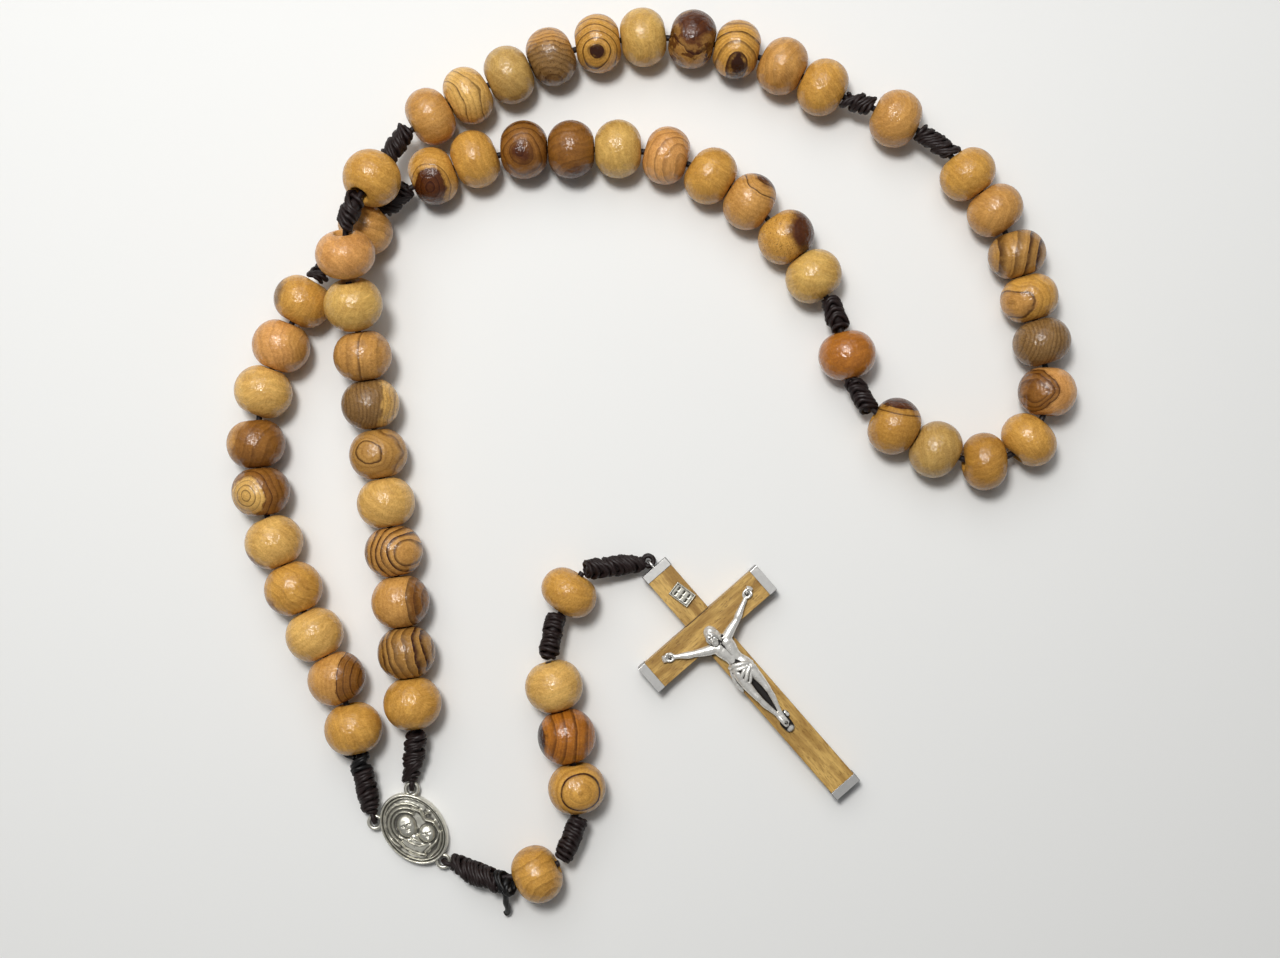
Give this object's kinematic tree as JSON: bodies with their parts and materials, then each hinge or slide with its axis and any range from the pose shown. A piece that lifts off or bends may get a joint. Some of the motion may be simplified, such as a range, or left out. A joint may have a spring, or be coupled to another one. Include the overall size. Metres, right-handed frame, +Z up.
{
  "type": "rosary",
  "caption": "Five-decade wooden rosary: turned beads and barrel knots on waxed cord, oval centrepiece medal, pendant and wooden crucifix with a metal corpus, lying flat",
  "frame": {"origin": "on the surface the rosary lies on, under the middle of its outline", "axes": "+Z up, out of the surface; +Y from the medal towards the loop's far end; +X to the right of that"},
  "size_m": [0.1172, 0.1233, 0.0144],
  "materials": {
    "bead_wood": "varnished olive wood",
    "cross_wood": "satin light wood",
    "antique_silver": "antique silver, darkened recesses",
    "bright_silver": "bright silver plate",
    "waxed_cord": "dark brown waxed cord"
  },
  "bodies": {
    "medal": {"centrepiece_medal": "antique_silver"},
    "left_strand": {"left_medal_knot": "waxed_cord", "left_strand_cord": "waxed_cord"},
    "right_strand": {"right_medal_knot": "waxed_cord", "right_strand_cord": "waxed_cord"},
    "upper_loop": {"upper_loop_cord": "waxed_cord", "our_father_1_knots": "waxed_cord", "our_father_2_knots": "waxed_cord", "our_father_3_knots": "waxed_cord", "our_father_4_knots": "waxed_cord"},
    "pendant_top": {"pendant_medal_knot": "waxed_cord", "pendant_cord_1": "waxed_cord"},
    "pendant_middle": {"pendant_lower_knot": "waxed_cord", "pendant_cord_2": "waxed_cord"},
    "pendant_end": {"pendant_upper_knot": "waxed_cord", "pendant_cord_3": "waxed_cord"},
    "crucifix_link": {"crucifix_knot": "waxed_cord"},
    "crucifix": {"crucifix_upright": "cross_wood", "crucifix_crossbar": "cross_wood", "crucifix_end_caps": "bright_silver", "crucifix_eye": "bright_silver", "title_plaque": "antique_silver", "corpus": "antique_silver", "corpus_nails": "antique_silver"},
    "decade_1_bead_1": {"decade_1_bead_1": "bead_wood"},
    "decade_1_beads_2_3": {"decade_1_beads_2_3": "bead_wood"},
    "decade_1_beads_4_5": {"decade_1_beads_4_5": "bead_wood"},
    "decade_1_beads_6_7": {"decade_1_beads_6_7": "bead_wood"},
    "decade_1_beads_8_9": {"decade_1_beads_8_9": "bead_wood"},
    "decade_1_bead_10": {"decade_1_bead_10": "bead_wood"},
    "our_father_bead_1": {"our_father_bead_1": "bead_wood"},
    "decade_2_beads_1_2": {"decade_2_beads_1_2": "bead_wood"},
    "decade_2_beads_3_5": {"decade_2_beads_3_5": "bead_wood"},
    "decade_2_bead_6": {"decade_2_bead_6": "bead_wood"},
    "decade_2_beads_7_8": {"decade_2_beads_7_8": "bead_wood"},
    "decade_2_beads_9_10": {"decade_2_beads_9_10": "bead_wood"},
    "our_father_bead_2": {"our_father_bead_2": "bead_wood"},
    "decade_3_beads_1_2": {"decade_3_beads_1_2": "bead_wood"},
    "decade_3_bead_3": {"decade_3_bead_3": "bead_wood"},
    "decade_3_bead_4": {"decade_3_bead_4": "bead_wood"},
    "decade_3_bead_5": {"decade_3_bead_5": "bead_wood"},
    "decade_3_beads_6_8": {"decade_3_beads_6_8": "bead_wood"},
    "decade_3_beads_9_10": {"decade_3_beads_9_10": "bead_wood"},
    "our_father_bead_3": {"our_father_bead_3": "bead_wood"},
    "decade_4_beads_1_2": {"decade_4_beads_1_2": "bead_wood"},
    "decade_4_beads_3_4": {"decade_4_beads_3_4": "bead_wood"},
    "decade_4_beads_5_6": {"decade_4_beads_5_6": "bead_wood"},
    "decade_4_beads_7_8": {"decade_4_beads_7_8": "bead_wood"},
    "decade_4_beads_9_10": {"decade_4_beads_9_10": "bead_wood"},
    "our_father_bead_4": {"our_father_bead_4": "bead_wood"},
    "decade_5_bead_1": {"decade_5_bead_1": "bead_wood"},
    "decade_5_bead_2": {"decade_5_bead_2": "bead_wood"},
    "decade_5_beads_3_4": {"decade_5_beads_3_4": "bead_wood"},
    "decade_5_beads_5_7": {"decade_5_beads_5_7": "bead_wood"},
    "decade_5_beads_8_10": {"decade_5_beads_8_10": "bead_wood"},
    "our_father_bead_5": {"our_father_bead_5": "bead_wood"},
    "pendant_bead_1": {"pendant_bead_1": "bead_wood"},
    "pendant_bead_2": {"pendant_bead_2": "bead_wood"},
    "pendant_bead_3": {"pendant_bead_3": "bead_wood"},
    "our_father_bead_6": {"our_father_bead_6": "bead_wood"}
  },
  "joints": [
    {"name": "left_strand_swing", "type": "hinge", "parent": "medal", "child": "left_strand", "pos_m": [-0.0386, -0.05109, 0.00125], "axis": [0, 0, 1], "range_deg": [-2, 10]},
    {"name": "right_strand_swing", "type": "hinge", "parent": "medal", "child": "right_strand", "pos_m": [-0.03347, -0.04648, 0.00125], "axis": [0, 0, 1], "range_deg": [-2, 10]},
    {"name": "upper_loop_swing", "type": "hinge", "parent": "left_strand", "child": "upper_loop", "pos_m": [-0.04553, 0.0253, 0.004], "axis": [0, 0, 1], "range_deg": [-10, 2]},
    {"name": "pendant_top_swing", "type": "hinge", "parent": "medal", "child": "pendant_top", "pos_m": [-0.02908, -0.05651, 0.00125], "axis": [0, 0, 1], "range_deg": [-60, 15]},
    {"name": "pendant_middle_swing", "type": "hinge", "parent": "pendant_top", "child": "pendant_middle", "pos_m": [-0.01192, -0.05467, 0.004], "axis": [0, 0, -1], "range_deg": [-18, 40]},
    {"name": "pendant_end_swing", "type": "hinge", "parent": "pendant_middle", "child": "pendant_end", "pos_m": [-0.0141, -0.02668, 0.004], "axis": [0, 0, 1], "range_deg": [-40, 25]},
    {"name": "crucifix_knot_swing", "type": "hinge", "parent": "pendant_end", "child": "crucifix_link", "pos_m": [-0.008, -0.0156, 0.00362], "axis": [0, 0, -1], "range_deg": [-35, 12]},
    {"name": "crucifix_swing", "type": "hinge", "parent": "crucifix_link", "child": "crucifix", "pos_m": [-0.00045, -0.0146, 0.0015], "axis": [0, 0, -1], "range_deg": [-60, 2]},
    {"name": "decade_1_bead_1_spin", "type": "hinge", "parent": "left_strand", "child": "decade_1_bead_1", "pos_m": [-0.04116, -0.03763, 0.004], "axis": [-0.1883, 0.9821, 0], "continuous": true},
    {"name": "decade_1_beads_2_3_spin", "type": "hinge", "parent": "left_strand", "child": "decade_1_beads_2_3", "pos_m": [-0.04348, -0.03074, 0.004], "axis": [-0.4472, 0.8944, 0], "continuous": true},
    {"name": "decade_1_beads_4_5_spin", "type": "hinge", "parent": "left_strand", "child": "decade_1_beads_4_5", "pos_m": [-0.04943, -0.01832, 0.004], "axis": [-0.3871, 0.922, 0], "continuous": true},
    {"name": "decade_1_beads_6_7_spin", "type": "hinge", "parent": "left_strand", "child": "decade_1_beads_6_7", "pos_m": [-0.05392, -0.00494, 0.004], "axis": [-0.1009, 0.9949, 0], "continuous": true},
    {"name": "decade_1_beads_8_9_spin", "type": "hinge", "parent": "left_strand", "child": "decade_1_beads_8_9", "pos_m": [-0.05359, 0.00884, 0.004], "axis": [0.3628, 0.9319, 0], "continuous": true},
    {"name": "decade_1_bead_10_spin", "type": "hinge", "parent": "left_strand", "child": "decade_1_bead_10", "pos_m": [-0.04816, 0.02131, 0.004], "axis": [0.5057, 0.8627, 0], "continuous": true},
    {"name": "our_father_bead_1_spin", "type": "hinge", "parent": "upper_loop", "child": "our_father_bead_1", "pos_m": [-0.03949, 0.03149, 0.004], "axis": [0.7645, 0.6446, 0], "continuous": true},
    {"name": "decade_2_beads_1_2_spin", "type": "hinge", "parent": "upper_loop", "child": "decade_2_beads_1_2", "pos_m": [-0.03014, 0.03861, 0.004], "axis": [0.928, 0.3727, 0], "continuous": true},
    {"name": "decade_2_beads_3_5_spin", "type": "hinge", "parent": "upper_loop", "child": "decade_2_beads_3_5", "pos_m": [-0.0176, 0.04224, 0.004], "axis": [1, 0.005, 0], "continuous": true},
    {"name": "decade_2_bead_6_spin", "type": "hinge", "parent": "upper_loop", "child": "decade_2_bead_6", "pos_m": [0.00203, 0.04142, 0.004], "axis": [0.9627, -0.2707, 0], "continuous": true},
    {"name": "decade_2_beads_7_8_spin", "type": "hinge", "parent": "upper_loop", "child": "decade_2_beads_7_8", "pos_m": [0.00814, 0.03861, 0.004], "axis": [0.8343, -0.5513, 0], "continuous": true},
    {"name": "decade_2_beads_9_10_spin", "type": "hinge", "parent": "upper_loop", "child": "decade_2_beads_9_10", "pos_m": [0.01852, 0.03017, 0.004], "axis": [0.5764, -0.8172, 0], "continuous": true},
    {"name": "our_father_bead_2_spin", "type": "hinge", "parent": "upper_loop", "child": "our_father_bead_2", "pos_m": [0.02698, 0.01387, 0.004], "axis": [0.2154, -0.9765, 0], "continuous": true},
    {"name": "decade_3_beads_1_2_spin", "type": "hinge", "parent": "upper_loop", "child": "decade_3_beads_1_2", "pos_m": [0.03349, 0.00408, 0.004], "axis": [0.8704, -0.4923, 0], "continuous": true},
    {"name": "decade_3_bead_3_spin", "type": "hinge", "parent": "upper_loop", "child": "decade_3_bead_3", "pos_m": [0.04589, -0.00079, 0.004], "axis": [0.9984, 0.0562, 0], "continuous": true},
    {"name": "decade_3_bead_4_spin", "type": "hinge", "parent": "upper_loop", "child": "decade_3_bead_4", "pos_m": [0.05202, 0.0022, 0.004], "axis": [0.6652, 0.7467, 0], "continuous": true},
    {"name": "decade_3_bead_5_spin", "type": "hinge", "parent": "upper_loop", "child": "decade_3_bead_5", "pos_m": [0.0546, 0.00883, 0.004], "axis": [0.04, 0.9992, 0], "continuous": true},
    {"name": "decade_3_beads_6_8_spin", "type": "hinge", "parent": "upper_loop", "child": "decade_3_beads_6_8", "pos_m": [0.05381, 0.0157, 0.004], "axis": [-0.2727, 0.9621, 0], "continuous": true},
    {"name": "decade_3_beads_9_10_spin", "type": "hinge", "parent": "upper_loop", "child": "decade_3_beads_9_10", "pos_m": [0.04736, 0.03386, 0.004], "axis": [-0.6049, 0.7963, 0], "continuous": true},
    {"name": "our_father_bead_3_spin", "type": "hinge", "parent": "upper_loop", "child": "our_father_bead_3", "pos_m": [0.03368, 0.04652, 0.004], "axis": [-0.8973, 0.4413, 0], "continuous": true},
    {"name": "decade_4_beads_1_2_spin", "type": "hinge", "parent": "upper_loop", "child": "decade_4_beads_1_2", "pos_m": [0.02362, 0.05085, 0.004], "axis": [-0.8866, 0.4626, 0], "continuous": true},
    {"name": "decade_4_beads_3_4_spin", "type": "hinge", "parent": "upper_loop", "child": "decade_4_beads_3_4", "pos_m": [0.01176, 0.05606, 0.004], "axis": [-0.9753, 0.221, 0], "continuous": true},
    {"name": "decade_4_beads_5_6_spin", "type": "hinge", "parent": "upper_loop", "child": "decade_4_beads_5_6", "pos_m": [-0.00118, 0.05775, 0.004], "axis": [-0.9905, -0.1372, 0], "continuous": true},
    {"name": "decade_4_beads_7_8_spin", "type": "hinge", "parent": "upper_loop", "child": "decade_4_beads_7_8", "pos_m": [-0.01387, 0.05506, 0.004], "axis": [-0.9163, -0.4004, 0], "continuous": true},
    {"name": "decade_4_beads_9_10_spin", "type": "hinge", "parent": "upper_loop", "child": "decade_4_beads_9_10", "pos_m": [-0.02532, 0.04967, 0.0042], "axis": [-0.862, -0.5028, 0.0639], "continuous": true},
    {"name": "our_father_bead_4_spin", "type": "hinge", "parent": "upper_loop", "child": "our_father_bead_4", "pos_m": [-0.03784, 0.03745, 0.00888], "axis": [-0.4255, -0.7658, 0.4822], "continuous": true},
    {"name": "decade_5_bead_1_spin", "type": "hinge", "parent": "upper_loop", "child": "decade_5_bead_1", "pos_m": [-0.04115, 0.02696, 0.0105], "axis": [0.0276, -0.8968, -0.4415], "continuous": true},
    {"name": "decade_5_bead_2_spin", "type": "hinge", "parent": "right_strand", "child": "decade_5_bead_2", "pos_m": [-0.04061, 0.02053, 0.00743], "axis": [0.121, -0.9009, -0.4168], "continuous": true},
    {"name": "decade_5_beads_3_4_spin", "type": "hinge", "parent": "right_strand", "child": "decade_5_beads_3_4", "pos_m": [-0.03966, 0.0137, 0.0054], "axis": [0.138, -0.9808, -0.138], "continuous": true},
    {"name": "decade_5_beads_5_7_spin", "type": "hinge", "parent": "right_strand", "child": "decade_5_beads_5_7", "pos_m": [-0.03771, 0.00025, 0.004], "axis": [0.1557, -0.9878, 0], "continuous": true},
    {"name": "decade_5_beads_8_10_spin", "type": "hinge", "parent": "right_strand", "child": "decade_5_beads_8_10", "pos_m": [-0.03465, -0.02012, 0.004], "axis": [0.116, -0.9932, 0], "continuous": true},
    {"name": "our_father_bead_5_spin", "type": "hinge", "parent": "pendant_top", "child": "our_father_bead_5", "pos_m": [-0.01582, -0.05771, 0.004], "axis": [0.8891, 0.4576, 0], "continuous": true},
    {"name": "pendant_bead_1_spin", "type": "hinge", "parent": "pendant_middle", "child": "pendant_bead_1", "pos_m": [-0.01033, -0.04587, 0.004], "axis": [-0.1224, 0.9925, 0], "continuous": true},
    {"name": "pendant_bead_2_spin", "type": "hinge", "parent": "pendant_middle", "child": "pendant_bead_2", "pos_m": [-0.01172, -0.03873, 0.004], "axis": [-0.2552, 0.9669, 0], "continuous": true},
    {"name": "pendant_bead_3_spin", "type": "hinge", "parent": "pendant_middle", "child": "pendant_bead_3", "pos_m": [-0.01347, -0.03179, 0.004], "axis": [-0.2329, 0.9725, 0], "continuous": true},
    {"name": "our_father_bead_6_spin", "type": "hinge", "parent": "pendant_end", "child": "our_father_bead_6", "pos_m": [-0.01138, -0.01887, 0.004], "axis": [0.548, 0.8365, 0], "continuous": true}
  ],
  "couplings": [
    {"joint": "right_strand_swing", "follows": "left_strand_swing", "ratio": 1},
    {"joint": "upper_loop_swing", "follows": "left_strand_swing", "ratio": -1}
  ]
}
